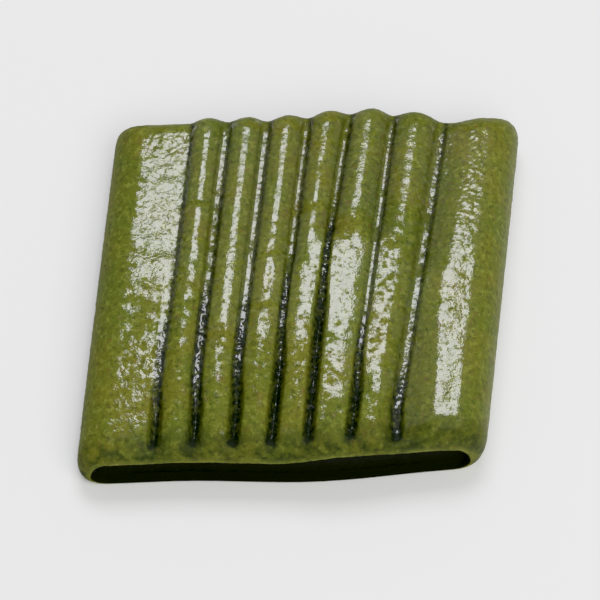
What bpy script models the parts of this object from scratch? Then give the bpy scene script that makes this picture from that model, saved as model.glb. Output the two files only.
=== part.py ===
"""A pressed rice cake: one strip of green steamed dough, ribbed on top by its die and cut to length.

The strip is extruded ring by ring along its ridges. Both cuts are a little askew and pinch the dough,
so that the top skin rolls down over a sunken cut face.
"""

import math

import bmesh
import bpy

MM = 0.001

# Driving dimensions. X runs across the ridges, Y along them, and the dough lies on Z = 0.
WIDTH = 60.9 * MM
WIDTH_GAIN = 2.0 * MM  # how much wider the back end is than the front end
LENGTH = 58.2 * MM  # from cut to cut along the middle, without the bulge of the back cut
HEIGHT = 12.2 * MM
CROWN_ACROSS = 1.3 * MM  # how far the top falls from the middle to its edges
CROWN_ALONG = 0.8 * MM
WAVE = 0.2 * MM  # the slow unevenness of a strip lifted by hand, in waves that run askew
WAVES_ACROSS = (9.0 * MM, 21.0 * MM)  # their lengths along X and Y, per turn of one radian
WAVES_ALONG = (17.0 * MM, 8.0 * MM)
WAVE_STARTS = (0.6, 2.1)
CORNER_SAG = 1.3 * MM  # the left front and the right back corner lie lower than the others
SAG_START = 0.5  # where the sag begins, as a share of half the width
DIP = 1.0 * MM  # the cut drags the ridges left of the middle down ahead of it
DIP_REACH = 11.0 * MM
DIP_AT = -8.0 * MM
DIP_HALF = 12.0 * MM
DIP_EDGE = 6.0 * MM

# The sides: a wide round above the widest line and a tighter one below it.
SIDE_ROUND = 5.2 * MM
CUT_ROUND = 2.4 * MM  # the upper round at the cuts, where the pinch squares the outline
BASE_ROUND = 3.2 * MM
WIDEST_AT = 0.40  # height of the widest line, as a share of the height at the side

# The die's ridges, from left to right, and the grooves between them. A groove is a shallow crease at
# the back, a little left of its line, and a deep slot in front. The swells are the depths of the
# valleys below the crests.
FIRST_GROOVE = -18.95 * MM
RIDGE_WIDTHS = [5.95 * MM, 5.9 * MM, 5.8 * MM, 5.8 * MM, 6.4 * MM, 7.4 * MM]
LEFT_LEAN = math.radians(-0.4)  # the grooves fan out towards the back, most on the right
RIGHT_LEAN = math.radians(3.1)
WANDERS = [0.2 * MM, 0.0, 0.0, 0.0, -0.7 * MM, 0.1 * MM, 0.2 * MM]  # how far they bow halfway along
SWELLS_BACK = [1.1 * MM, 1.0 * MM, 1.0 * MM, 1.1 * MM, 1.15 * MM, 1.3 * MM, 1.3 * MM]
SWELLS_FRONT = [1.0 * MM, 0.75 * MM, 0.75 * MM, 0.55 * MM, 0.2 * MM, 0.35 * MM, 0.45 * MM]
FLAT_UP_TO = [0.56, 0.58, 0.58, 0.52, 0.6, 0.6, 0.5]  # share of the length with flatter ridges
FLAT_FADE = 0.06
LAST_VALLEY = 1.45 * MM  # the valley before the right band deepens by this much towards the front cut
LAST_VALLEY_UP_TO = 0.55
VALLEY_ROUND = 1.0 * MM
CREASE_SHIFTS = [0.45 * MM, 0.6 * MM, 0.55 * MM, 0.45 * MM, 0.15 * MM, 0.45 * MM, 0.8 * MM]
CREASE_DEPTHS = [0.1 * MM, 0.55 * MM, 0.55 * MM, 0.55 * MM, 0.55 * MM, 0.55 * MM, 0.55 * MM]
CREASE_REACHES = [0.9 * MM, 1.0 * MM, 0.95 * MM, 0.75 * MM, 0.75 * MM, 0.75 * MM, 1.1 * MM]
CREASE_FLOOR = 4.0  # the higher, the flatter the floor and the steeper the flanks
SLOT_DEPTH = 1.4 * MM
SLOT_REACH = 1.2 * MM
SLOT_FLOOR = 1.5
SLOT_UP_TO = [0.14, 0.16, 0.18, 0.29, 0.42, 0.2, 0.06]  # share of the length with a slot
SLOT_FADE = 0.14
GROOVE_POWER = 1.4  # above 1 the flanks curve out at the foot
RIGHT_BAND_LOW = -0.5 * MM  # the left band lies as deep as its groove, the right one rises to this
BAND_FLANKS = [6.6 * MM, 6.2 * MM, 4.8 * MM, 5.2 * MM, 5.8 * MM, 6.4 * MM]  # from front to back

# The cuts: askew, rolled over at the top, rounded at the corners and sunken in the middle.
FRONT_SKEW = math.radians(8.3)
FRONT_BOW = 1.1 * MM  # the front cut bulges too, right of the middle
FRONT_BOW_AT = 5.5 * MM
FRONT_BOW_REACH = 22.0 * MM
BACK_SKEW = math.radians(5.8)
BACK_OUT = 2.9 * MM  # the back cut bulges out by this much right of the middle, and less elsewhere
BACK_BOW = 1.55 * MM
BACK_BOW_AT = 8.0 * MM
BACK_BOW_REACH = 17.0 * MM
FRONT_ROLL_LEFT = 4.6 * MM  # how far in from the cut the top starts to roll over
FRONT_ROLL_RIGHT = 3.6 * MM
BACK_ROLL = 3.8 * MM
LIP_LEFT = 6.4 * MM  # height of the front lip, which steps up right of the middle
LIP_RIGHT = 8.1 * MM
LIP_FALL = 2.2 * MM  # how far it falls again towards the right side
LIP_STEP = 10.0 * MM
LIP_STEP_AT = 4.5 * MM
BACK_LIP_SIDE = 6.2 * MM  # height of the back lip at the sides and in the middle
BACK_LIP_MIDDLE = 7.0 * MM
FRONT_CORNER_INSET = 2.0 * MM
BACK_CORNER_INSET = 0.6 * MM
CORNER_REACH = 3.0 * MM
BASE_LIFT = 0.5 * MM
BASE_REACH = 1.2 * MM
RELIEF_END = 0.2 * MM  # where the round of the ridges has run out, measured from the cut
RELIEF_FADE = 1.5 * MM
GROOVE_END = 1.2 * MM  # where the creases and slots have run out
GROOVE_FADE = 2.2 * MM
FRONT_RELIEF_LEFT = 0.12  # share of the relief left at the front lip
BACK_RELIEF_LEFT = 0.95  # the ridges still show as bumps in the back edge
BACK_SCALLOP = 0.7  # how far the grooves cut into the back edge, as a share of their depth
RECESS = 1.2 * MM  # how far the cut face is sunk behind its rim
RECESS_RIM = 0.35  # share of the way in at which the face is fully sunk
RECESS_FOOT = 3.0 * MM  # below this height the face comes forward again to the base
RECESS_LINE = 0.25  # height of the deepest line of the face, as a share of the height of the cut

# Mesh density.
RIDGE_STEPS = 10
BAND_STEPS = 6
STATION_POWER = 1.6  # above 1 the points across a ridge crowd towards its grooves
SIDE_STEPS = 6
BASE_STEPS = 3
BOTTOM_STEPS = 8
ROLL_RINGS = 7
MIDDLE_RINGS = 13
FACE_INSETS = (0.9, 0.65, 0.4, 0.22, 0.09)
SHARP_ANGLE = math.radians(80)

DOUGH_COLOUR = (0.136, 0.155, 0.026, 1.0)
DOUGH_ROUGHNESS = 0.32


def mix(start, end, share):
    return start + (end - start) * share


def smooth(share):
    """Eases from 0 to 1, level at both."""
    share = min(max(share, 0.0), 1.0)
    return share * share * (3 - 2 * share)


def along(values, t):
    """The value at t of a list that is spread evenly from the front cut to the back cut."""
    place = min(t, 0.9999) * (len(values) - 1)
    step = int(place)
    return mix(values[step], values[step + 1], smooth(place - step))


def rolled(distance, reach):
    """A quarter circle: 0 at the cut, 1 from `reach` inward."""
    return math.sqrt(1 - (1 - min(distance / reach, 1.0)) ** 2)


def crowded(share):
    """Spreads even shares from 0 to 1 so that they crowd towards both ends."""
    if share > 0.5:
        return 1 - crowded(1 - share)
    return 0.5 * (2 * share) ** STATION_POWER


def slot_shares(t):
    """How far each groove on the ring at t is a slot: 1 in front, 0 where it is only a crease."""
    return [smooth((up_to - t) / SLOT_FADE + 0.5) for up_to in SLOT_UP_TO]


def groove_lines(t):
    """X of each groove on the ring at t, where t is 0 at the front cut and 1 at the back cut."""
    middles = [FIRST_GROOVE]
    for ridge_width in RIDGE_WIDTHS:
        middles.append(middles[-1] + ridge_width)
    lines = []
    for middle, wander, shift, slot in zip(middles, WANDERS, CREASE_SHIFTS, slot_shares(t)):
        share = (middle - middles[0]) / (middles[-1] - middles[0])
        lean = mix(LEFT_LEAN, RIGHT_LEAN, share**2)
        bowed = middle + 4 * wander * t * (1 - t) - shift * (1 - slot)
        lines.append(bowed + math.tan(lean) * (t - 0.5) * LENGTH)
    return lines


def swell_depths(t):
    """How far each groove's line lies below the crests on the ring at t, without the groove."""
    depths = []
    for flat_up_to, front, back in zip(FLAT_UP_TO, SWELLS_FRONT, SWELLS_BACK):
        depths.append(mix(front, back, smooth((t - flat_up_to) / FLAT_FADE + 0.5)))
    depths[-1] += LAST_VALLEY * max(0.0, 1 - t / LAST_VALLEY_UP_TO)
    return depths


def swell(x, t, grooves, depths):
    """How far the top lies below its crests at x on the ring at t, leaving out the grooves."""
    if x <= grooves[0]:
        return depths[0]
    if x >= grooves[-1]:
        return mix(depths[-1], RIGHT_BAND_LOW, smooth((x - grooves[-1]) / along(BAND_FLANKS, t)))
    ridge = sum(x >= groove for groove in grooves) - 1
    half = (grooves[ridge + 1] - grooves[ridge]) / 2
    from_left = x - grooves[ridge]
    depth = depths[ridge] if from_left < half else depths[ridge + 1]
    climbed = math.hypot(min(from_left, 2 * half - from_left), VALLEY_ROUND) - VALLEY_ROUND
    whole_climb = math.hypot(half, VALLEY_ROUND) - VALLEY_ROUND
    return depth * (1 - climbed / whole_climb) ** 2


def nearest_groove(x, grooves):
    return min(range(len(grooves)), key=lambda groove: abs(x - grooves[groove]))


def in_groove(x, line, groove, slot):
    """1 on the floor of a crease or slot, falling to 0 at the top of its flanks."""
    reach = mix(CREASE_REACHES[groove], SLOT_REACH, slot)
    floor = mix(CREASE_FLOOR, SLOT_FLOOR, slot)
    return max(0.0, 1 - (abs(x - line) / reach) ** floor) ** GROOVE_POWER


def relief_left(t):
    """The share of the ridges' round that is left on the ring at t."""
    fade_front = smooth((t * LENGTH - RELIEF_END) / RELIEF_FADE)
    fade_back = smooth(((1 - t) * LENGTH - RELIEF_END) / RELIEF_FADE)
    return mix(FRONT_RELIEF_LEFT, 1.0, fade_front) * mix(BACK_RELIEF_LEFT, 1.0, fade_back)


def groove_left(t):
    """The share of the depth of the creases and slots that is left on the ring at t."""
    return smooth((min(t, 1 - t) * LENGTH - GROOVE_END) / GROOVE_FADE)


def relief_drop(x, t, grooves, depths, slots):
    """How deep the relief is at x on the ring at t: the swell, with a crease or slot cut into it."""
    swelled = relief_left(t) * swell(x, t, grooves, depths)
    nearest = nearest_groove(x, grooves)
    floor = relief_left(t) * depths[nearest] + mix(CREASE_DEPTHS[nearest], SLOT_DEPTH, slots[nearest])
    share = groove_left(t) * in_groove(x, grooves[nearest], nearest, slots[nearest])
    return mix(swelled, floor, share)


def top_stations(t, left, right):
    """(x, drop) across the top between the two sides, where drop is the depth of the relief there."""
    grooves = groove_lines(t)
    depths = swell_depths(t)
    slots = slot_shares(t)
    lines = [left, *grooves, right]
    stations = []
    for span, (start, end) in enumerate(zip(lines, lines[1:])):
        steps = BAND_STEPS if span in (0, len(lines) - 2) else RIDGE_STEPS
        for step in range(steps):
            x = mix(start, end, crowded(step / steps))
            stations.append((x, relief_drop(x, t, grooves, depths, slots)))
    stations.append((right, relief_left(t) * swell(right, t, grooves, depths)))
    return stations


def wave(x, y):
    """Slow unevenness of the top, in waves that never repeat over the strip."""
    across = math.sin(x / WAVES_ACROSS[0] + y / WAVES_ACROSS[1] + WAVE_STARTS[0])
    along = math.sin(y / WAVES_ALONG[1] - x / WAVES_ALONG[0] + WAVE_STARTS[1])
    return WAVE * (across + along) / 2


def y_on_ring(x, t, drop):
    """Y on the ring at t, with rings swung evenly from the front cut to the back cut."""
    bow = FRONT_BOW * smooth(abs(x - FRONT_BOW_AT) / FRONT_BOW_REACH)
    front = -LENGTH / 2 + math.tan(FRONT_SKEW) * x + bow
    bow = BACK_BOW * smooth(abs(x - BACK_BOW_AT) / BACK_BOW_REACH)
    back = LENGTH / 2 + BACK_OUT + math.tan(BACK_SKEW) * x - bow
    near_back = 1 - rolled((1 - t) * LENGTH, BACK_ROLL)
    return mix(front, back, t) - BACK_SCALLOP * drop * near_back


def lip_height(x, t):
    """Height of the rolled edge of the nearer cut."""
    if t < 0.5:
        level = mix(LIP_LEFT, LIP_RIGHT, smooth((x - LIP_STEP_AT) / LIP_STEP + 0.5))
        return level - LIP_FALL * max(0.0, 2 * x / WIDTH) ** 2
    return mix(BACK_LIP_MIDDLE, BACK_LIP_SIDE, (2 * x / WIDTH) ** 2)


def sag(x, t):
    """How far the top sinks towards its left front and right back corners."""
    towards_corner = (2 * t - 1) * math.copysign(1, x)
    outward = max(0.0, abs(2 * x / WIDTH) - SAG_START) / (1 - SAG_START)
    return CORNER_SAG * outward * smooth(towards_corner)


def dip(x, t):
    """How far the ridges are dragged down towards the front cut."""
    across = smooth((DIP_HALF - abs(x - DIP_AT)) / DIP_EDGE + 0.5)
    return DIP * across * smooth(1 - t * LENGTH / DIP_REACH)


def top_height(x, t, drop):
    body = HEIGHT - CROWN_ACROSS * (2 * x / WIDTH) ** 2 - CROWN_ALONG * (2 * t - 1) ** 2
    body += wave(x, y_on_ring(x, t, 0.0)) - sag(x, t) - dip(x, t)
    from_cut = t * LENGTH if t < 0.5 else (1 - t) * LENGTH
    roll = mix(FRONT_ROLL_LEFT, FRONT_ROLL_RIGHT, smooth(0.5 + x / WIDTH)) if t < 0.5 else BACK_ROLL
    return mix(lip_height(x, t), body, rolled(from_cut, roll)) - drop


def side_points(x_widest, inward, t, lift, side_round):
    """(x, z, drop) up one side, from the base to just below the top; `inward` is 1 or -1 along X."""
    edge = x_widest + inward * side_round
    edge_drop = relief_left(t) * swell(edge, t, groove_lines(t), swell_depths(t))
    top = top_height(edge, t, edge_drop)
    widest = top * WIDEST_AT
    points = []
    for step in range(BASE_STEPS):
        angle = math.radians(90 * step / BASE_STEPS)
        x = x_widest + inward * BASE_ROUND * (1 - math.sin(angle))
        points.append((x, mix(widest, lift, math.cos(angle)), 0.0))
    for step in range(SIDE_STEPS):
        angle = math.radians(90 * step / SIDE_STEPS)
        x = x_widest + inward * side_round * (1 - math.cos(angle))
        points.append((x, mix(widest, top, math.sin(angle)), edge_drop * math.sin(angle)))
    return points


def section(t):
    """The ring's outline at t as (x, z, drop), from the left base corner over the top and back below."""
    from_cut = min(t, 1 - t) * LENGTH
    near_cut = 1 - rolled(from_cut, CORNER_REACH)
    inset = mix(FRONT_CORNER_INSET, BACK_CORNER_INSET, t) * near_cut
    half = (WIDTH + WIDTH_GAIN * (t - 0.5)) / 2 - inset
    side_round = mix(SIDE_ROUND, CUT_ROUND, near_cut)
    lift = BASE_LIFT * (1 - rolled(from_cut, BASE_REACH))
    points = side_points(-half, 1, t, lift, side_round)
    for x, drop in top_stations(t, side_round - half, half - side_round):
        points.append((x, top_height(x, t, drop), drop))
    points.extend(reversed(side_points(half, -1, t, lift, side_round)))
    base_half = half - BASE_ROUND
    for step in range(1, BOTTOM_STEPS):
        points.append((mix(base_half, -base_half, step / BOTTOM_STEPS), lift, 0.0))
    return points


def strip_ring(t):
    return [(x, y_on_ring(x, t, drop), z) for x, z, drop in section(t)]


def face_ring(t, inset):
    """A ring inside the cut face at t, drawn in towards a low line along it and sunk into the dough."""
    inward = 1 if t < 0.5 else -1
    outline = section(t)
    half_height = max(z for _, z, _ in outline) / 2
    line_reach = max(x for x, _, _ in outline) - half_height
    points = []
    for x, z, drop in outline:
        x_in = mix(x, min(max(x, -line_reach), line_reach), inset)
        z_in = mix(z, 2 * half_height * RECESS_LINE, inset)
        depth = RECESS * smooth(inset / RECESS_RIM) * smooth(z_in / RECESS_FOOT)
        points.append((x_in, y_on_ring(x_in, t, drop * (1 - inset)) + inward * depth, z_in))
    return points


def all_rings():
    """Every ring in order: out over the front cut face, along the strip and in over the back one."""
    roll = [1 - math.cos(math.radians(90 * i / ROLL_RINGS)) for i in range(ROLL_RINGS)]
    straight = LENGTH - FRONT_ROLL_LEFT - BACK_ROLL
    distances = [FRONT_ROLL_LEFT * share for share in roll]
    distances += [FRONT_ROLL_LEFT + straight * i / MIDDLE_RINGS for i in range(MIDDLE_RINGS + 1)]
    distances += [LENGTH - BACK_ROLL * share for share in reversed(roll)]
    rings = [face_ring(0.0, inset) for inset in FACE_INSETS]
    rings += [strip_ring(distance / LENGTH) for distance in distances]
    rings += [face_ring(1.0, inset) for inset in reversed(FACE_INSETS)]
    return rings


def place(verts, station, points):
    for vert in verts:
        vert.co = points[vert[station]]


def extrude_strip(bm):
    """Extrudes the first ring through all the others and closes both ends."""
    rings = all_rings()
    station = bm.verts.layers.int.new("station")
    verts = bmesh.ops.create_circle(bm, segments=len(rings[0]), radius=WIDTH / 2)["verts"]
    for index, vert in enumerate(verts):
        vert[station] = index
    place(verts, station, rings[0])
    edges = list(bm.edges)
    bmesh.ops.edgeloop_fill(bm, edges=edges)
    for points in rings[1:]:
        extruded = bmesh.ops.extrude_edge_only(bm, edges=edges)["geom"]
        place([item for item in extruded if isinstance(item, bmesh.types.BMVert)], station, points)
        edges = [item for item in extruded if isinstance(item, bmesh.types.BMEdge) and item.is_boundary]
    bmesh.ops.edgeloop_fill(bm, edges=edges)
    bmesh.ops.recalc_face_normals(bm, faces=bm.faces)


def centre_on_base(bm):
    """Moves the mesh so that its box stands on Z = 0, centred on the origin."""
    lows = [min(vert.co[axis] for vert in bm.verts) for axis in range(3)]
    highs = [max(vert.co[axis] for vert in bm.verts) for axis in range(3)]
    shift = (-(lows[0] + highs[0]) / 2, -(lows[1] + highs[1]) / 2, -lows[2])
    bmesh.ops.translate(bm, verts=bm.verts, vec=shift)


def dough_material():
    material = bpy.data.materials.new("green_rice_dough")
    material.use_nodes = True
    shader = material.node_tree.nodes["Principled BSDF"]
    shader.inputs["Base Color"].default_value = DOUGH_COLOUR
    shader.inputs["Roughness"].default_value = DOUGH_ROUGHNESS
    shader.inputs["Metallic"].default_value = 0.0
    return material


def make_rice_cake(collection):
    bm = bmesh.new()
    extrude_strip(bm)
    centre_on_base(bm)
    mesh = bpy.data.meshes.new("rice_cake")
    bm.to_mesh(mesh)
    bm.free()
    mesh.materials.append(dough_material())
    mesh.shade_smooth()
    mesh.set_sharp_from_angle(angle=SHARP_ANGLE)
    collection.objects.link(bpy.data.objects.new("rice_cake", mesh))


for old_object in list(bpy.data.objects):
    bpy.data.objects.remove(old_object)
parts = bpy.data.collections.new("pressed_rice_cake")
bpy.context.scene.collection.children.link(parts)
make_rice_cake(parts)
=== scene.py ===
import math

import bmesh
import bpy
from mathutils import Matrix, Vector, noise


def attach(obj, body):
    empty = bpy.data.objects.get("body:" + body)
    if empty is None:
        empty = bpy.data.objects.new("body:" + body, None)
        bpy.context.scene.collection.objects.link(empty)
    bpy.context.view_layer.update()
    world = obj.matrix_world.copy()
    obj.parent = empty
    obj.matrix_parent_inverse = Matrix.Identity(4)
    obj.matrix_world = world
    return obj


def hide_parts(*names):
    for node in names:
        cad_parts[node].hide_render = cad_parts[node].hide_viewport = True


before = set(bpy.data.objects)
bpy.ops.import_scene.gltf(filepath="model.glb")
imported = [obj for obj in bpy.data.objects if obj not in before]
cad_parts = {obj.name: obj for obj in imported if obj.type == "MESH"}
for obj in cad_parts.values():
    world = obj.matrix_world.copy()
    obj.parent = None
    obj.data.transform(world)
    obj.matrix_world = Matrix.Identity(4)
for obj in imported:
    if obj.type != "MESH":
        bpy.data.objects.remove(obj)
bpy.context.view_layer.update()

# ---------------------------------------------------------------------------------------------
# The dough. One strip of steamed rice dough kneaded with green leaf, pressed through a ribbed die and
# cut to length with a blunt edge, which drags the skin down over each cut. It is extruded here ring
# by ring along its ridges, as the strip leaves the die, and then gets its pebbled skin.
# ---------------------------------------------------------------------------------------------
MM = 0.001

# Driving dimensions. X runs across the ridges, Y along them, and the dough lies on Z = 0.
WIDTH = 60.9 * MM
WIDTH_GAIN = 2.0 * MM  # how much wider the back end is than the front end
LENGTH = 58.2 * MM  # from cut to cut along the middle, without the bulge of the back cut
HEIGHT = 12.2 * MM
CROWN_ACROSS = 1.3 * MM  # how far the top falls from the middle to its edges
CROWN_ALONG = 0.8 * MM
WAVE = 0.2 * MM  # the slow unevenness of a strip lifted by hand, in waves that run askew
WAVES_ACROSS = (9.0 * MM, 21.0 * MM)  # their lengths along X and Y, per turn of one radian
WAVES_ALONG = (17.0 * MM, 8.0 * MM)
WAVE_STARTS = (0.6, 2.1)
CORNER_SAG = 1.3 * MM  # the left front and the right back corner lie lower than the others
SAG_START = 0.5  # where the sag begins, as a share of half the width
DIP = 1.0 * MM  # the cut drags the ridges left of the middle down ahead of it
DIP_REACH = 11.0 * MM
DIP_AT = -8.0 * MM
DIP_HALF = 12.0 * MM
DIP_EDGE = 6.0 * MM

# The sides: a wide round above the widest line and a tighter one below it.
SIDE_ROUND = 5.2 * MM
CUT_ROUND = 2.4 * MM  # the upper round at the cuts, where the pinch squares the outline
BASE_ROUND = 3.2 * MM
WIDEST_AT = 0.40  # height of the widest line, as a share of the height at the side

# The die's ridges, from left to right, and the grooves between them. A groove is a shallow crease at
# the back, a little left of its line, and a deep slot in front. The swells are the depths of the
# valleys below the crests.
FIRST_GROOVE = -18.95 * MM
RIDGE_WIDTHS = [5.95 * MM, 5.9 * MM, 5.8 * MM, 5.8 * MM, 6.4 * MM, 7.4 * MM]
LEFT_LEAN = math.radians(-0.4)  # the grooves fan out towards the back, most on the right
RIGHT_LEAN = math.radians(3.1)
WANDERS = [0.2 * MM, 0.0, 0.0, 0.0, -0.7 * MM, 0.1 * MM, 0.2 * MM]  # how far they bow halfway along
SWELLS_BACK = [1.1 * MM, 1.0 * MM, 1.0 * MM, 1.1 * MM, 1.15 * MM, 1.3 * MM, 1.3 * MM]
SWELLS_FRONT = [1.0 * MM, 0.75 * MM, 0.75 * MM, 0.55 * MM, 0.2 * MM, 0.35 * MM, 0.45 * MM]
FLAT_UP_TO = [0.56, 0.58, 0.58, 0.52, 0.6, 0.6, 0.5]  # share of the length with flatter ridges
FLAT_FADE = 0.06
LAST_VALLEY = 1.45 * MM  # the valley before the right band deepens by this much towards the front cut
LAST_VALLEY_UP_TO = 0.55
VALLEY_ROUND = 1.0 * MM
CREASE_SHIFTS = [0.45 * MM, 0.6 * MM, 0.55 * MM, 0.45 * MM, 0.15 * MM, 0.45 * MM, 0.8 * MM]
CREASE_DEPTHS = [0.1 * MM, 0.55 * MM, 0.55 * MM, 0.55 * MM, 0.55 * MM, 0.55 * MM, 0.55 * MM]
CREASE_REACHES = [0.9 * MM, 1.0 * MM, 0.95 * MM, 0.75 * MM, 0.75 * MM, 0.75 * MM, 1.1 * MM]
CREASE_FLOOR = 4.0  # the higher, the flatter the floor and the steeper the flanks
SLOT_DEPTH = 1.4 * MM
SLOT_REACH = 1.2 * MM
SLOT_FLOOR = 1.5
SLOT_UP_TO = [0.14, 0.16, 0.18, 0.29, 0.42, 0.2, 0.06]  # share of the length with a slot
SLOT_FADE = 0.14
GROOVE_POWER = 1.4  # above 1 the flanks curve out at the foot
RIGHT_BAND_LOW = -0.5 * MM  # the left band lies as deep as its groove, the right one rises to this
BAND_FLANKS = [6.6 * MM, 6.2 * MM, 4.8 * MM, 5.2 * MM, 5.8 * MM, 6.4 * MM]  # from front to back

# The cuts: askew, rolled over at the top, rounded at the corners and sunken in the middle.
FRONT_SKEW = math.radians(8.3)
FRONT_BOW = 1.1 * MM  # the front cut bulges too, right of the middle
FRONT_BOW_AT = 5.5 * MM
FRONT_BOW_REACH = 22.0 * MM
BACK_SKEW = math.radians(5.8)
BACK_OUT = 2.9 * MM  # the back cut bulges out by this much right of the middle, and less elsewhere
BACK_BOW = 1.55 * MM
BACK_BOW_AT = 8.0 * MM
BACK_BOW_REACH = 17.0 * MM
FRONT_ROLL_LEFT = 4.6 * MM  # how far in from the cut the top starts to roll over
FRONT_ROLL_RIGHT = 3.6 * MM
BACK_ROLL = 3.8 * MM
LIP_LEFT = 6.4 * MM  # height of the front lip, which steps up right of the middle
LIP_RIGHT = 8.1 * MM
LIP_FALL = 2.2 * MM  # how far it falls again towards the right side
LIP_STEP = 10.0 * MM
LIP_STEP_AT = 4.5 * MM
BACK_LIP_SIDE = 6.2 * MM  # height of the back lip at the sides and in the middle
BACK_LIP_MIDDLE = 7.0 * MM
FRONT_CORNER_INSET = 2.0 * MM
BACK_CORNER_INSET = 0.6 * MM
CORNER_REACH = 3.0 * MM
BASE_LIFT = 0.5 * MM
BASE_REACH = 1.2 * MM
RELIEF_END = 0.2 * MM  # where the round of the ridges has run out, measured from the cut
RELIEF_FADE = 1.5 * MM
GROOVE_END = 1.2 * MM  # where the creases and slots have run out
GROOVE_FADE = 2.2 * MM
FRONT_RELIEF_LEFT = 0.12  # share of the relief left at the front lip
BACK_RELIEF_LEFT = 0.95  # the ridges still show as bumps in the back edge
BACK_SCALLOP = 0.7  # how far the grooves cut into the back edge, as a share of their depth
RECESS = 1.2 * MM  # how far the cut face is sunk behind its rim
RECESS_RIM = 0.35  # share of the way in at which the face is fully sunk
RECESS_FOOT = 3.0 * MM  # below this height the face comes forward again to the base
RECESS_LINE = 0.25  # height of the deepest line of the face, as a share of the height of the cut

# Fine enough for the pebbled skin, at about a fifth of a millimetre.
RIDGE_STEPS = 28
BAND_STEPS = 34
STATION_POWER = 1.25
SIDE_STEPS = 18
BASE_STEPS = 7
BOTTOM_STEPS = 16
ROLL_RINGS = 22
MIDDLE_RINGS = 228
FACE_RINGS = 16
FACE_INSET_MOST = 0.985  # the innermost ring of a cut face, as a share of the way to its middle line
FACE_INSET_POWER = 1.5  # above 1 its rings crowd towards the rim


def mix(start, end, share):
    return start + (end - start) * share


def smooth(share):
    """Eases from 0 to 1, level at both."""
    share = min(max(share, 0.0), 1.0)
    return share * share * (3 - 2 * share)


def along(values, t):
    """The value at t of a list that is spread evenly from the front cut to the back cut."""
    place = min(t, 0.9999) * (len(values) - 1)
    step = int(place)
    return mix(values[step], values[step + 1], smooth(place - step))


def rolled(distance, reach):
    """A quarter circle: 0 at the cut, 1 from `reach` inward."""
    return math.sqrt(1 - (1 - min(distance / reach, 1.0)) ** 2)


def crowded(share):
    """Spreads even shares from 0 to 1 so that they crowd towards both ends."""
    if share > 0.5:
        return 1 - crowded(1 - share)
    return 0.5 * (2 * share) ** STATION_POWER


def slot_shares(t):
    """How far each groove on the ring at t is a slot: 1 in front, 0 where it is only a crease."""
    return [smooth((up_to - t) / SLOT_FADE + 0.5) for up_to in SLOT_UP_TO]


def groove_lines(t):
    """X of each groove on the ring at t, where t is 0 at the front cut and 1 at the back cut."""
    middles = [FIRST_GROOVE]
    for ridge_width in RIDGE_WIDTHS:
        middles.append(middles[-1] + ridge_width)
    lines = []
    for middle, wander, shift, slot in zip(middles, WANDERS, CREASE_SHIFTS, slot_shares(t)):
        share = (middle - middles[0]) / (middles[-1] - middles[0])
        lean = mix(LEFT_LEAN, RIGHT_LEAN, share**2)
        bowed = middle + 4 * wander * t * (1 - t) - shift * (1 - slot)
        lines.append(bowed + math.tan(lean) * (t - 0.5) * LENGTH)
    return lines


def swell_depths(t):
    """How far each groove's line lies below the crests on the ring at t, without the groove."""
    depths = []
    for flat_up_to, front, back in zip(FLAT_UP_TO, SWELLS_FRONT, SWELLS_BACK):
        depths.append(mix(front, back, smooth((t - flat_up_to) / FLAT_FADE + 0.5)))
    depths[-1] += LAST_VALLEY * max(0.0, 1 - t / LAST_VALLEY_UP_TO)
    return depths


def swell(x, t, grooves, depths):
    """How far the top lies below its crests at x on the ring at t, leaving out the grooves."""
    if x <= grooves[0]:
        return depths[0]
    if x >= grooves[-1]:
        return mix(depths[-1], RIGHT_BAND_LOW, smooth((x - grooves[-1]) / along(BAND_FLANKS, t)))
    ridge = sum(x >= groove for groove in grooves) - 1
    half = (grooves[ridge + 1] - grooves[ridge]) / 2
    from_left = x - grooves[ridge]
    depth = depths[ridge] if from_left < half else depths[ridge + 1]
    climbed = math.hypot(min(from_left, 2 * half - from_left), VALLEY_ROUND) - VALLEY_ROUND
    whole_climb = math.hypot(half, VALLEY_ROUND) - VALLEY_ROUND
    return depth * (1 - climbed / whole_climb) ** 2


def nearest_groove(x, grooves):
    return min(range(len(grooves)), key=lambda groove: abs(x - grooves[groove]))


def in_groove(x, line, groove, slot):
    """1 on the floor of a crease or slot, falling to 0 at the top of its flanks."""
    reach = mix(CREASE_REACHES[groove], SLOT_REACH, slot)
    floor = mix(CREASE_FLOOR, SLOT_FLOOR, slot)
    return max(0.0, 1 - (abs(x - line) / reach) ** floor) ** GROOVE_POWER


def relief_left(t):
    """The share of the ridges' round that is left on the ring at t."""
    fade_front = smooth((t * LENGTH - RELIEF_END) / RELIEF_FADE)
    fade_back = smooth(((1 - t) * LENGTH - RELIEF_END) / RELIEF_FADE)
    return mix(FRONT_RELIEF_LEFT, 1.0, fade_front) * mix(BACK_RELIEF_LEFT, 1.0, fade_back)


def groove_left(t):
    """The share of the depth of the creases and slots that is left on the ring at t."""
    return smooth((min(t, 1 - t) * LENGTH - GROOVE_END) / GROOVE_FADE)


def relief_drop(x, t, grooves, depths, slots):
    """How deep the relief is at x on the ring at t: the swell, with a crease or slot cut into it."""
    swelled = relief_left(t) * swell(x, t, grooves, depths)
    nearest = nearest_groove(x, grooves)
    floor = relief_left(t) * depths[nearest] + mix(CREASE_DEPTHS[nearest], SLOT_DEPTH, slots[nearest])
    share = groove_left(t) * in_groove(x, grooves[nearest], nearest, slots[nearest])
    return mix(swelled, floor, share)


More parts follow.
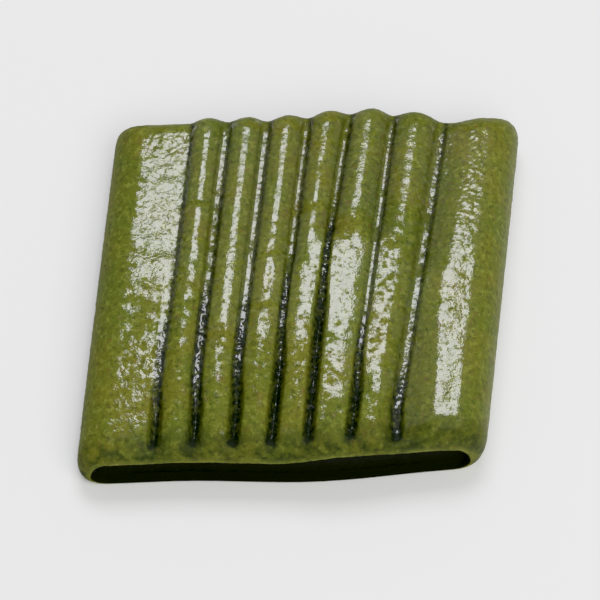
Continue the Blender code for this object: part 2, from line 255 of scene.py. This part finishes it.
def top_stations(t, left, right):
    """(x, drop) across the top between the two sides, where drop is the depth of the relief there."""
    grooves = groove_lines(t)
    depths = swell_depths(t)
    slots = slot_shares(t)
    lines = [left, *grooves, right]
    stations = []
    for span, (start, end) in enumerate(zip(lines, lines[1:])):
        steps = BAND_STEPS if span in (0, len(lines) - 2) else RIDGE_STEPS
        for step in range(steps):
            x = mix(start, end, crowded(step / steps))
            stations.append((x, relief_drop(x, t, grooves, depths, slots)))
    stations.append((right, relief_left(t) * swell(right, t, grooves, depths)))
    return stations


def wave(x, y):
    """Slow unevenness of the top, in waves that never repeat over the strip."""
    across = math.sin(x / WAVES_ACROSS[0] + y / WAVES_ACROSS[1] + WAVE_STARTS[0])
    along = math.sin(y / WAVES_ALONG[1] - x / WAVES_ALONG[0] + WAVE_STARTS[1])
    return WAVE * (across + along) / 2


def y_on_ring(x, t, drop):
    """Y on the ring at t, with rings swung evenly from the front cut to the back cut."""
    bow = FRONT_BOW * smooth(abs(x - FRONT_BOW_AT) / FRONT_BOW_REACH)
    front = -LENGTH / 2 + math.tan(FRONT_SKEW) * x + bow
    bow = BACK_BOW * smooth(abs(x - BACK_BOW_AT) / BACK_BOW_REACH)
    back = LENGTH / 2 + BACK_OUT + math.tan(BACK_SKEW) * x - bow
    near_back = 1 - rolled((1 - t) * LENGTH, BACK_ROLL)
    return mix(front, back, t) - BACK_SCALLOP * drop * near_back


def lip_height(x, t):
    """Height of the rolled edge of the nearer cut."""
    if t < 0.5:
        level = mix(LIP_LEFT, LIP_RIGHT, smooth((x - LIP_STEP_AT) / LIP_STEP + 0.5))
        return level - LIP_FALL * max(0.0, 2 * x / WIDTH) ** 2
    return mix(BACK_LIP_MIDDLE, BACK_LIP_SIDE, (2 * x / WIDTH) ** 2)


def sag(x, t):
    """How far the top sinks towards its left front and right back corners."""
    towards_corner = (2 * t - 1) * math.copysign(1, x)
    outward = max(0.0, abs(2 * x / WIDTH) - SAG_START) / (1 - SAG_START)
    return CORNER_SAG * outward * smooth(towards_corner)


def dip(x, t):
    """How far the ridges are dragged down towards the front cut."""
    across = smooth((DIP_HALF - abs(x - DIP_AT)) / DIP_EDGE + 0.5)
    return DIP * across * smooth(1 - t * LENGTH / DIP_REACH)


def top_height(x, t, drop):
    body = HEIGHT - CROWN_ACROSS * (2 * x / WIDTH) ** 2 - CROWN_ALONG * (2 * t - 1) ** 2
    body += wave(x, y_on_ring(x, t, 0.0)) - sag(x, t) - dip(x, t)
    from_cut = t * LENGTH if t < 0.5 else (1 - t) * LENGTH
    roll = mix(FRONT_ROLL_LEFT, FRONT_ROLL_RIGHT, smooth(0.5 + x / WIDTH)) if t < 0.5 else BACK_ROLL
    return mix(lip_height(x, t), body, rolled(from_cut, roll)) - drop


def side_points(x_widest, inward, t, lift, side_round):
    """(x, z, drop) up one side, from the base to just below the top; `inward` is 1 or -1 along X."""
    edge = x_widest + inward * side_round
    edge_drop = relief_left(t) * swell(edge, t, groove_lines(t), swell_depths(t))
    top = top_height(edge, t, edge_drop)
    widest = top * WIDEST_AT
    points = []
    for step in range(BASE_STEPS):
        angle = math.radians(90 * step / BASE_STEPS)
        x = x_widest + inward * BASE_ROUND * (1 - math.sin(angle))
        points.append((x, mix(widest, lift, math.cos(angle)), 0.0))
    for step in range(SIDE_STEPS):
        angle = math.radians(90 * step / SIDE_STEPS)
        x = x_widest + inward * side_round * (1 - math.cos(angle))
        points.append((x, mix(widest, top, math.sin(angle)), edge_drop * math.sin(angle)))
    return points


def section(t):
    """The ring's outline at t as (x, z, drop), from the left base corner over the top and back below."""
    from_cut = min(t, 1 - t) * LENGTH
    near_cut = 1 - rolled(from_cut, CORNER_REACH)
    inset = mix(FRONT_CORNER_INSET, BACK_CORNER_INSET, t) * near_cut
    half = (WIDTH + WIDTH_GAIN * (t - 0.5)) / 2 - inset
    side_round = mix(SIDE_ROUND, CUT_ROUND, near_cut)
    lift = BASE_LIFT * (1 - rolled(from_cut, BASE_REACH))
    points = side_points(-half, 1, t, lift, side_round)
    for x, drop in top_stations(t, side_round - half, half - side_round):
        points.append((x, top_height(x, t, drop), drop))
    points.extend(reversed(side_points(half, -1, t, lift, side_round)))
    base_half = half - BASE_ROUND
    for step in range(1, BOTTOM_STEPS):
        points.append((mix(base_half, -base_half, step / BOTTOM_STEPS), lift, 0.0))
    return points


# How much of the left band, of the six ridges and of the right band the oil covers, at six places from
# the front cut to the back one, and then of the seven grooves.
WETNESS = [
    (0.42, 0.42, 0.25, 0.9, 1.05, 0.9),
    (0.0, 0.15, 0.35, 0.7, 1.0, 1.0),
    (0.0, 0.3, 0.7, 0.65, 0.85, 0.8),
    (0.0, 0.2, 0.7, 0.85, 0.85, 0.7),
    (0.0, 0.3, 0.7, 0.8, 0.7, 0.7),
    (0.1, 0.5, 0.9, 0.95, 0.7, 0.7),
    (0.1, 0.5, 0.6, 0.4, 0.7, 0.6),
    (1.0, 0.95, 0.65, 0.8, 0.95, 1.0),
]
GROOVE_WETNESS = [
    (0.3, 0.6, 0.6, 0.9, 0.9, 0.6),
    (0.1, 0.7, 0.6, 0.4, 0.9, 1.0),
    (0.1, 0.4, 0.8, 0.9, 1.0, 0.9),
    (0.1, 0.15, 0.45, 0.4, 0.7, 0.5),
    (0.1, 0.1, 0.1, 0.1, 0.7, 0.4),
    (0.1, 0.2, 0.8, 0.95, 0.9, 0.9),
    (0.5, 0.8, 0.8, 0.4, 0.9, 1.0),
]
OIL_AT_FRONT = (2.6 * MM, 3.1 * MM)  # it starts and is full at these distances from the cuts
OIL_AT_BACK = (2.8 * MM, 3.8 * MM)
OIL_WANDER = 2.6 * MM  # how ragged that edge is at the back
OIL_WANDER_SIZE = 2.0 * MM
OIL_WANDER_FADE = 0.25  # share of the length over which it turns ragged, from halfway on
OIL_EDGE = -27.0 * MM  # where it starts on the left band
OIL_EDGE_FADE = 2.4 * MM
WET_EDGE_SIZE = 1.6 * MM  # the edges of the wet patches wander by noise of this size
WET_EDGE_WANDER = 0.45
# Small dents across a ridge, which break the oil: the ridge's number from the left, the share of the
# length where the dent lies, and how far the oil draws back from it.
NICKS = [
    (1, 0.707, 0.5 * MM),
    (2, 0.315, 0.4 * MM),
    (3, 0.397, 0.5 * MM),
    (3, 0.548, 0.5 * MM),
    (4, 0.679, 0.7 * MM),
    (5, 0.62, 2.4 * MM),
]
NICK_DEPTH = 0.12 * MM
NICK_REACH = 0.4 * MM
NICK_WANDER = 0.8 * MM
NICK_WANDER_SIZE = 1.0 * MM
# Painted shade: the grooves are darkened in front and along the right flank of each crease, and
# the skin is darkened around the front end of each slot and in the valleys, where shade falls.
DARK_UP_TO = [0.36, 0.45, 0.42, 0.5, 0.66, 0.35, 0.2]  # share of the length with dark grooves
DARK_FADE = 0.12
DARK_LEAST = 0.75
CREASE_SHADE = 0.55
CREASE_SHADE_AT = 0.65 * MM  # measured from the groove's line
CREASE_SHADE_REACH = 0.4 * MM
SHADE_END = 1.0 * MM  # where the dark of the grooves has run out, measured from the cut
SHADE_FADE = 0.9 * MM
SHADE_ABOVE = 4.0 * MM  # the sides and the base have no grooves
END_SHADE = 0.32
END_SHADE_AT = 2.0 * MM
END_SHADE_REACH = 1.2 * MM
END_SHADE_HALF = 1.9 * MM
VALLEY_SHADE = 0.26
VALLEY_FULL = 0.9 * MM
# The pebbled skin: slow lumps, pebbles and a fine grain, which the oil evens out. The pebbles are
# coarser in the slots, near the back cut, and on the right band from its middle to the back.
LUMP_SIZE = 1.7 * MM
LUMP_HEIGHT = 0.04 * MM
PEBBLE_SIZE = 0.5 * MM
PEBBLE_START = Vector((7.3, 1.9, 4.1))  # keeps the pebbles apart from the lumps, which start at 0
PEBBLE_DRY = 0.05 * MM
PEBBLE_WET = 0.02 * MM
PEBBLE_SLOT = 0.12 * MM
PEBBLE_SLOT_GAIN = 1.3  # how soon they turn finer up the flanks of a slot
PEBBLE_BACK = 0.06 * MM
PEBBLE_BACK_FROM = 0.88
PEBBLE_BACK_FADE = 0.12
PEBBLE_BAND = 0.075 * MM
PEBBLE_BAND_FROM_X = 18.5 * MM
PEBBLE_BAND_FADE_X = 1.0 * MM
PEBBLE_BAND_FROM = 0.55
PEBBLE_BAND_FADE = 0.1
GRAIN_SIZE = 0.27 * MM
GRAIN_START = Vector((2.7, 8.1, 5.3))
GRAIN_DRY = 0.045 * MM
GRAIN_WET = 0.010 * MM
SKIN_FROM = 0.3 * MM  # the base is smooth up to this height
SKIN_FADE = 1.0 * MM
# The lip, and the cut with the lines that the blunt edge drags down it.
RIM_SHARE = 0.3  # how far up the roll of the lip its pale rim, a painted glow, reaches
CUT_EDGE = 0.07  # share of the way into a cut face at which the skin has given way to the cut dough
CUT_FOOT = 2.25 * MM  # how far the cut dough's colour, at the front a painted shade, reaches under the strip
CUT_FOOT_FADE = 1.5 * MM
DRAG_HEIGHT = 0.09 * MM
DRAG_WIDTH = 0.9 * MM
DRAG_LENGTH = 5.0 * MM


def wetness(x, t):
    """The share of the skin that oil covers there, before its edges are made uneven."""
    grooves = groove_lines(t)
    nearest = nearest_groove(x, grooves)
    if abs(x - grooves[nearest]) < CREASE_REACHES[nearest]:
        return along(GROOVE_WETNESS[nearest], t)
    ridge = sum(x > groove for groove in grooves)
    wet = along(WETNESS[ridge], t) * smooth((x - OIL_EDGE) / OIL_EDGE_FADE)
    for nicked, at, gap in NICKS:
        if nicked == ridge:
            wet *= 1 - math.exp(-(((t - at) * LENGTH / gap) ** 2))
    return wet


def nick_depth(x, t):
    """How deep the dents are at x on the ring at t."""
    ridge = sum(x > groove for groove in groove_lines(t))
    wander = NICK_WANDER * noise.noise(Vector((x / NICK_WANDER_SIZE, 0, ridge)))
    depth = 0.0
    for nicked, at, _ in NICKS:
        if nicked == ridge:
            depth += NICK_DEPTH * math.exp(-((((t - at) * LENGTH + wander) / NICK_REACH) ** 2))
    return depth


def groove_shade(x, t, drop):
    """How much painted shade the skin gets in a valley, crease or slot, and at a slot's front end."""
    grooves = groove_lines(t)
    slots = slot_shares(t)
    nearest = nearest_groove(x, grooves)
    slot = slots[nearest]
    dark = max(slot, DARK_LEAST * smooth((DARK_UP_TO[nearest] - t) / DARK_FADE + 0.5))
    in_slot = dark * in_groove(x, grooves[nearest], nearest, slot)
    right_of_line = (x - grooves[nearest] - CREASE_SHADE_AT) / CREASE_SHADE_REACH
    flank = CREASE_SHADE * (1 - dark) * math.exp(-(right_of_line**2))
    valley = VALLEY_SHADE * smooth(drop / VALLEY_FULL) if x > grooves[0] else 0.0
    from_end = (t * LENGTH - END_SHADE_AT) / END_SHADE_REACH
    across = (x - grooves[nearest]) / END_SHADE_HALF
    end_shade = END_SHADE * math.exp(-(from_end**2) - across**2)
    before_cut = smooth((min(t, 1 - t) * LENGTH - SHADE_END) / SHADE_FADE)
    return (in_slot + flank) * before_cut + valley + end_shade


def strip_ring(t):
    """A ring of the strip as (point, shares), where the shares go into the mesh's attributes."""
    outline = section(t)
    from_cut = min(t, 1 - t) * LENGTH
    oil_starts, oil_full = OIL_AT_FRONT if t < 0.5 else OIL_AT_BACK
    ragged = OIL_WANDER * smooth((t - 0.5) / OIL_WANDER_FADE)
    rim = 1 - rolled(from_cut, FRONT_ROLL_LEFT) / RIM_SHARE
    ring = []
    for index, (x, z, drop) in enumerate(outline):
        below = index > len(outline) - BOTTOM_STEPS
        up_the_side = (min(index, len(outline) - BOTTOM_STEPS - index) - BASE_STEPS) / SIDE_STEPS
        wander = ragged * noise.noise(Vector((x, t * LENGTH, 0)) / OIL_WANDER_SIZE)
        oil_here = smooth((from_cut + wander - oil_starts) / (oil_full - oil_starts))
        # The groove share is the painted shade of the grooves, valleys and slot ends.
        shares = {
            "groove": groove_shade(x, t, drop) if z > SHADE_ABOVE else 0.0,
            "cut": smooth((CUT_FOOT - from_cut) / CUT_FOOT_FADE) if below else 0.0,
            "oil": oil_here * smooth(2 * up_the_side - 1),
            "wet": wetness(x, t),
            "rim": max(rim, 0.0),
            "along": t,
        }
        ring.append((Vector((x, y_on_ring(x, t, drop), z)), shares))
    return ring


def face_ring(t, inset):
    """A ring inside the cut face at t, as (point, shares)."""
    inward = 1 if t < 0.5 else -1
    outline = section(t)
    half_height = max(z for _, z, _ in outline) / 2
    line_reach = max(x for x, _, _ in outline) - half_height
    ring = []
    for index, (x, z, drop) in enumerate(outline):
        x_in = mix(x, min(max(x, -line_reach), line_reach), inset)
        z_in = mix(z, 2 * half_height * RECESS_LINE, inset)
        depth = RECESS * smooth(inset / RECESS_RIM) * smooth(z_in / RECESS_FOOT)
        y_in = y_on_ring(x_in, t, drop * (1 - inset)) + inward * depth
        below = index > len(outline) - BOTTOM_STEPS
        cut = 1.0 if below else smooth(inset / CUT_EDGE)
        shares = {"groove": 0.0, "cut": cut, "oil": 0.0, "wet": 0.0, "rim": 1.0, "along": t}
        ring.append((Vector((x_in, y_in, z_in)), shares))
    return ring


def all_rings():
    """The rings from the middle of the front cut face, along the strip, to the middle of the back one."""
    roll = [1 - math.cos(math.radians(90 * i / ROLL_RINGS)) for i in range(ROLL_RINGS)]
    straight = LENGTH - FRONT_ROLL_LEFT - BACK_ROLL
    distances = [FRONT_ROLL_LEFT * share for share in roll]
    distances += [FRONT_ROLL_LEFT + straight * i / MIDDLE_RINGS for i in range(MIDDLE_RINGS + 1)]
    distances += [LENGTH - BACK_ROLL * share for share in reversed(roll)]
    insets = [FACE_INSET_MOST * (1 - i / FACE_RINGS) ** FACE_INSET_POWER for i in range(FACE_RINGS)]
    rings = [face_ring(0.0, inset) for inset in insets]
    rings += [strip_ring(distance / LENGTH) for distance in distances]
    rings += [face_ring(1.0, inset) for inset in reversed(insets)]
    return rings


rings = all_rings()
dough_bm = bmesh.new()
station = dough_bm.verts.layers.int.new("station")
for name in rings[0][0][1]:
    dough_bm.verts.layers.float.new(name)
layers = dough_bm.verts.layers.float


def place(verts, ring):
    """Moves new points to their stations on the ring."""
    for vert in verts:
        vert.co, shares = ring[vert[station]]
        for name, share in shares.items():
            vert[layers[name]] = share


ring_verts = bmesh.ops.create_circle(dough_bm, segments=len(rings[0]), radius=WIDTH / 2)["verts"]
for index, vert in enumerate(ring_verts):
    vert[station] = index
place(ring_verts, rings[0])
edges = list(dough_bm.edges)
bmesh.ops.edgeloop_fill(dough_bm, edges=edges)
for ring in rings[1:]:
    extruded = bmesh.ops.extrude_edge_only(dough_bm, edges=edges)["geom"]
    place([item for item in extruded if isinstance(item, bmesh.types.BMVert)], ring)
    edges = [item for item in extruded if isinstance(item, bmesh.types.BMEdge) and item.is_boundary]
bmesh.ops.edgeloop_fill(dough_bm, edges=edges)
bmesh.ops.recalc_face_normals(dough_bm, faces=dough_bm.faces)

lows = [min(vert.co[axis] for vert in dough_bm.verts) for axis in range(3)]
highs = [max(vert.co[axis] for vert in dough_bm.verts) for axis in range(3)]
centring = Vector((-(lows[0] + highs[0]) / 2, -(lows[1] + highs[1]) / 2, -lows[2]))
bmesh.ops.translate(dough_bm, verts=dough_bm.verts, vec=centring)

dough_bm.normal_update()
normals = [vert.normal.copy() for vert in dough_bm.verts]
for vert, normal in zip(dough_bm.verts, normals):
    x = vert.co.x - centring.x
    t = vert[layers["along"]]
    wet = smooth(vert[layers["wet"]] + WET_EDGE_WANDER * noise.noise(vert.co / WET_EDGE_SIZE))
    vert[layers["wet"]] = wet
    height = mix(PEBBLE_DRY, PEBBLE_WET, wet)
    height = mix(height, PEBBLE_BACK, smooth((t - PEBBLE_BACK_FROM) / PEBBLE_BACK_FADE + 0.5))
    on_band = smooth((x - PEBBLE_BAND_FROM_X) / PEBBLE_BAND_FADE_X)
    on_band *= smooth((t - PEBBLE_BAND_FROM) / PEBBLE_BAND_FADE + 0.5)
    height = mix(height, PEBBLE_BAND, on_band)
    height = mix(height, PEBBLE_SLOT, smooth(1 + PEBBLE_SLOT_GAIN * (vert[layers["groove"]] - 1)))
    rough = LUMP_HEIGHT * noise.noise(vert.co / LUMP_SIZE) - nick_depth(x, t)
    rough += height * noise.noise(vert.co / PEBBLE_SIZE + PEBBLE_START)
    rough += mix(GRAIN_DRY, GRAIN_WET, wet) * noise.noise(vert.co / GRAIN_SIZE + GRAIN_START)
    drag = DRAG_HEIGHT * noise.noise(Vector((vert.co.x / DRAG_WIDTH, 0, vert.co.z / DRAG_LENGTH)))
    above_base = smooth((vert.co.z - SKIN_FROM) / SKIN_FADE)
    vert.co += normal * above_base * mix(rough, drag, vert[layers["cut"]])

dough_mesh = bpy.data.meshes.new("dough")
dough_bm.to_mesh(dough_mesh)
dough_bm.free()
dough_mesh.shade_smooth()
dough = bpy.data.objects.new("dough", dough_mesh)
bpy.context.scene.collection.objects.link(dough)

dough_material = bpy.data.materials.new("oiled_green_dough")
dough_material.use_nodes = True
nodes = dough_material.node_tree.nodes
links = dough_material.node_tree.links
shader = nodes["Principled BSDF"]
shader.inputs["Specular IOR Level"].default_value = 0.1
shader.inputs["Subsurface Weight"].default_value = 0.08
shader.inputs["Subsurface Radius"].default_value = (1.0, 0.9, 0.35)
shader.inputs["Subsurface Scale"].default_value = 1.2 * MM
shader.inputs["Coat Roughness"].default_value = 0.09
shader.inputs["Coat IOR"].default_value = 1.6

place_in_dough = nodes.new("ShaderNodeTexCoord")


def attribute_node(name):
    node = nodes.new("ShaderNodeAttribute")
    node.attribute_name = name
    return node.outputs["Fac"]


def noise_node(size, detail, roughness=0.5):
    node = nodes.new("ShaderNodeTexNoise")
    node.inputs["Scale"].default_value = 1 / size
    node.inputs["Detail"].default_value = detail
    node.inputs["Roughness"].default_value = roughness
    links.new(place_in_dough.outputs["Object"], node.inputs["Vector"])
    return node.outputs["Fac"]


def ramp_node(value, limits, colours):
    """Runs from the first colour at the lower limit to the second one at the upper limit."""
    node = nodes.new("ShaderNodeValToRGB")
    for element, limit, colour in zip(node.color_ramp.elements, limits, colours):
        element.position = limit
        element.color = colour
    links.new(value, node.inputs["Fac"])
    return node.outputs["Color"]


def blend_node(share, first, second):
    """Blends from the first to the second, each of which is a colour or another node's output."""
    node = nodes.new("ShaderNodeMix")
    node.data_type = "RGBA"
    links.new(share, node.inputs["Factor"])
    for value, socket in ((first, node.inputs["A"]), (second, node.inputs["B"])):
        if isinstance(value, tuple):
            socket.default_value = value
        else:
            links.new(value, socket)
    return node.outputs["Result"]


def math_node(operation, *values):
    node = nodes.new("ShaderNodeMath")
    node.operation = operation
    for value, socket in zip(values, node.inputs):
        if isinstance(value, float):
            socket.default_value = value
        else:
            links.new(value, socket)
    return node.outputs["Value"]


cut_share = attribute_node("cut")
groove_shade_share = attribute_node("groove")
wet_share = attribute_node("wet")
oil_share = attribute_node("oil")
along_share = attribute_node("along")
rim_share = attribute_node("rim")

# Shares for the ramps, as greys.
BLACK = (0.0, 0.0, 0.0, 1.0)
DIM = (0.25, 0.25, 0.25, 1.0)
GREY = (0.6, 0.6, 0.6, 1.0)
WHITE = (1.0, 1.0, 1.0, 1.0)

# The dough's own colour wanders slowly between two greens. It is mottled with pale grains, bits of
# leaf and brown bits of husk: the colour, size and roughness of each, and the limits of its noise.
GREEN = (0.110, 0.136, 0.017, 1.0)
OLIVE = (0.143, 0.145, 0.017, 1.0)
TONE_SIZE = 7.0 * MM
TONE_LIMITS = (0.35, 0.65)
PALE = (0.25, 0.27, 0.050, 1.0)
LEAF_AND_SHADE = (0.033, 0.047, 0.010, 1.0)
HUSK = (0.15, 0.10, 0.03, 1.0)
SPECKS = [
    (PALE, 0.9 * MM, 0.7, (0.5, 0.68)),
    (LEAF_AND_SHADE, 0.75 * MM, 0.7, (0.51, 0.68)),
    (HUSK, 1.1 * MM, 0.6, (0.6, 0.7)),
]
skin = ramp_node(noise_node(TONE_SIZE, detail=2), TONE_LIMITS, (GREEN, OLIVE))
for speck_colour, speck_size, speck_roughness, speck_limits in SPECKS:
    specks = ramp_node(noise_node(speck_size, 3, speck_roughness), speck_limits, (BLACK, GREY))
    skin = blend_node(specks, skin, speck_colour)

# Painted glow: the rim of the lip is paler in patches, as light shines through the thin dough.
# Painted shade: the front roll above it, which faces away from the light, is darkened in patches
# with the leaf colour.
RIM_GLOW = (0.20, 0.22, 0.035, 1.0)
RIM_GLOW_SIZE = 2.6 * MM
RIM_GLOW_LIMITS = (0.42, 0.58)
FRONT_SHADE_SIZE = 1.6 * MM
FRONT_SHADE_LIMITS = (0.38, 0.62)
FRONT_SHADE_REACH = (0.5 * MM / LENGTH, 4.5 * MM / LENGTH)
rim_glow_patches = ramp_node(noise_node(RIM_GLOW_SIZE, detail=2), RIM_GLOW_LIMITS, (BLACK, GREY))
skin = blend_node(math_node("MULTIPLY", rim_share, rim_glow_patches), skin, RIM_GLOW)
near_front = ramp_node(along_share, FRONT_SHADE_REACH, (WHITE, BLACK))
front_shade = ramp_node(noise_node(FRONT_SHADE_SIZE, detail=3), FRONT_SHADE_LIMITS, (DIM, WHITE))
front_shade = math_node("MULTIPLY", near_front, front_shade)
front_shade = math_node("MULTIPLY", front_shade, math_node("SUBTRACT", 1.0, rim_share))
skin = blend_node(front_shade, skin, LEAF_AND_SHADE)

# Painted shade: the skin turns nearly black, in patches, where the grooves' shade share is high.
PAINTED_GROOVE_SHADE = (0.014, 0.020, 0.010, 1.0)
SHADE_BREAKUP_SIZE = 0.8 * MM
SHADE_BREAKUP_LIMITS = (0.4, 0.6)
GROOVE_SHADE_LIMITS = (0.0, 0.85)
shade_breakup = ramp_node(noise_node(SHADE_BREAKUP_SIZE, detail=2), SHADE_BREAKUP_LIMITS, (GREY, WHITE))
groove_shade_blend = ramp_node(math_node("MULTIPLY", groove_shade_share, shade_breakup), GROOVE_SHADE_LIMITS, (BLACK, WHITE))
skin = blend_node(groove_shade_blend, skin, PAINTED_GROOVE_SHADE)

# The cut dough is dark green at the back and nearly black in front, where the black is painted
# shade. It meets the skin raggedly.
CUT_FRONT_SHADED = (0.007, 0.009, 0.003, 1.0)
CUT_BACK = (0.040, 0.052, 0.011, 1.0)
CUT_ENDS = (0.2, 0.8)
CUT_EDGE_SIZE = 1.2 * MM
CUT_EDGE_WANDER = 0.8
CUT_EDGE_LIMITS = (0.7, 1.0)
edge_noise = math_node("MULTIPLY", noise_node(CUT_EDGE_SIZE, detail=3), CUT_EDGE_WANDER)
cut_here = ramp_node(math_node("ADD", cut_share, edge_noise), CUT_EDGE_LIMITS, (BLACK, WHITE))
cut_dough_and_shade = ramp_node(along_share, CUT_ENDS, (CUT_FRONT_SHADED, CUT_BACK))
links.new(blend_node(cut_here, skin, cut_dough_and_shade), shader.inputs["Base Color"])

# The oil is a clear coat: a film with ragged edges and pits on the wet skin, and beads in the slots.
FILM_SIZE = 1.0 * MM
FILM_ROUGHNESS = 0.6
FILM_ON_WET = 0.3
FILM_LIMITS = (0.58, 0.70)
PIT_SIZE = 0.7 * MM
PIT_LIMITS = (0.36, 0.44)
BEAD_SIZE = 0.5 * MM
BEAD_LIMITS = (0.5, 0.56)
BEAD_SLOT_LIMITS = (0.5, 0.8)
film = noise_node(FILM_SIZE, 4, FILM_ROUGHNESS)
film = math_node("ADD", film, math_node("MULTIPLY", wet_share, FILM_ON_WET))
film = ramp_node(film, FILM_LIMITS, (BLACK, WHITE))
pits = ramp_node(noise_node(PIT_SIZE, detail=3), PIT_LIMITS, (DIM, WHITE))
film = math_node("MULTIPLY", film, pits)
beads = ramp_node(noise_node(BEAD_SIZE, detail=1), BEAD_LIMITS, (BLACK, WHITE))
beads = math_node("MULTIPLY", ramp_node(groove_shade_share, BEAD_SLOT_LIMITS, (BLACK, WHITE)), beads)
film = math_node("MAXIMUM", film, beads)
links.new(math_node("MULTIPLY", film, oil_share), shader.inputs["Coat Weight"])

# Under the oil the skin is smoother and less gritty.
ROUGH_DRY = (0.6, 0.6, 0.6, 1.0)
ROUGH_WET = (0.42, 0.42, 0.42, 1.0)
GRIT_SIZE = 0.3 * MM
GRIT_HEIGHT = 0.05 * MM
GRIT_WET = (0.4, 0.4, 0.4, 1.0)
links.new(ramp_node(wet_share, (0.0, 1.0), (ROUGH_DRY, ROUGH_WET)), shader.inputs["Roughness"])
grit_left = ramp_node(wet_share, (0.0, 1.0), (WHITE, GRIT_WET))
bump = nodes.new("ShaderNodeBump")
bump.inputs["Distance"].default_value = GRIT_HEIGHT
links.new(math_node("MULTIPLY", noise_node(GRIT_SIZE, detail=1), grit_left), bump.inputs["Height"])
links.new(bump.outputs["Normal"], shader.inputs["Normal"])
links.new(bump.outputs["Normal"], shader.inputs["Coat Normal"])

dough_mesh.materials.append(dough_material)
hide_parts("rice_cake")
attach(dough, "root")

# ---------------------------------------------------------------------------------------------
# The table, the light and the camera: a plain pale floor, one big soft light behind and above, and
# a long lens that looks down over the front cut.
# ---------------------------------------------------------------------------------------------
FLOOR_SIZE = 3.0
FLOOR_COLOUR = (0.90, 0.90, 0.890, 1.0)
floor_bm = bmesh.new()
bmesh.ops.create_grid(floor_bm, x_segments=1, y_segments=1, size=FLOOR_SIZE / 2)
floor_mesh = bpy.data.meshes.new("floor")
floor_bm.to_mesh(floor_mesh)
floor_bm.free()
floor = bpy.data.objects.new("floor", floor_mesh)
bpy.context.scene.collection.objects.link(floor)
floor_material = bpy.data.materials.new("pale_floor")
floor_material.use_nodes = True
floor_shader = floor_material.node_tree.nodes["Principled BSDF"]
floor_shader.inputs["Base Color"].default_value = FLOOR_COLOUR
floor_shader.inputs["Roughness"].default_value = 0.8
floor_mesh.materials.append(floor_material)

VIEW_AZIMUTH = math.radians(5.6)
VIEW_ELEVATION = math.radians(60)
VIEW_DISTANCE = 0.6
LENS = 239
LOOK_AT = Vector((0.15 * MM, -0.25 * MM, 5 * MM)) + centring


def direction(azimuth, elevation):
    """From the rice cake towards a light or the camera, with azimuth 0 in front of it."""
    flat = math.cos(elevation)
    return Vector((math.sin(azimuth) * flat, -math.cos(azimuth) * flat, math.sin(elevation)))


def aim(thing, azimuth, elevation, distance):
    """Puts a light or the camera at that distance and turns it to the rice cake."""
    back = direction(azimuth, elevation)
    turn = back.to_track_quat("Z", "Y").to_matrix().to_4x4()
    thing.matrix_world = Matrix.Translation(LOOK_AT + back * distance) @ turn


camera = bpy.data.objects.new("camera", bpy.data.cameras.new("camera"))
camera.data.lens = LENS
camera.data.clip_start = 10 * MM
bpy.context.scene.collection.objects.link(camera)
aim(camera, VIEW_AZIMUTH, VIEW_ELEVATION, VIEW_DISTANCE)
bpy.context.scene.camera = camera


def area_light(name, size, energy, colour, azimuth, elevation, distance):
    light = bpy.data.objects.new(name, bpy.data.lights.new(name, "AREA"))
    light.data.shape = "RECTANGLE"
    light.data.size, light.data.size_y = size
    light.data.energy = energy
    light.data.color = colour
    bpy.context.scene.collection.objects.link(light)
    aim(light, azimuth, elevation, distance)


area_light(
    "softbox_behind",
    size=(0.42, 0.30),
    energy=3.35,
    colour=(0.91, 0.91, 1.0),
    azimuth=VIEW_AZIMUTH + math.pi,
    elevation=math.radians(62),
    distance=0.8,
)
area_light(
    "fill_front",
    size=(1.0, 0.8),
    energy=10.0,
    colour=(1.0, 1.0, 0.97),
    azimuth=math.radians(35),
    elevation=math.radians(52),
    distance=1.2,
)

world = bpy.data.worlds.new("studio")
world.use_nodes = True
world.node_tree.nodes["Background"].inputs["Color"].default_value = (1.0, 1.0, 1.0, 1.0)
world.node_tree.nodes["Background"].inputs["Strength"].default_value = 0.33
bpy.context.scene.world = world

# How bright each level of light is shown: the brightest tones roll off, as in a photograph.
BLACK_LEVEL = 0.01
WHITE_LEVEL = 1.5
TONES = [(0.15, 0.15), (0.3, 0.3), (0.45, 0.45), (0.6, 0.585), (0.8, 0.70), (1.04, 0.81), (1.3, 0.92)]
BRIGHTNESS_CURVE = 3  # after the three curves for red, green and blue
view = bpy.context.scene.view_settings
view.view_transform = "Standard"
view.use_curve_mapping = True
view.curve_mapping.black_level = [BLACK_LEVEL] * 3
view.curve_mapping.white_level = [WHITE_LEVEL] * 3
tones = view.curve_mapping.curves[BRIGHTNESS_CURVE]
for level, shown in TONES:
    tones.points.new(level / WHITE_LEVEL, shown)
for point in tones.points:
    point.handle_type = "AUTO_CLAMPED"
view.curve_mapping.update()
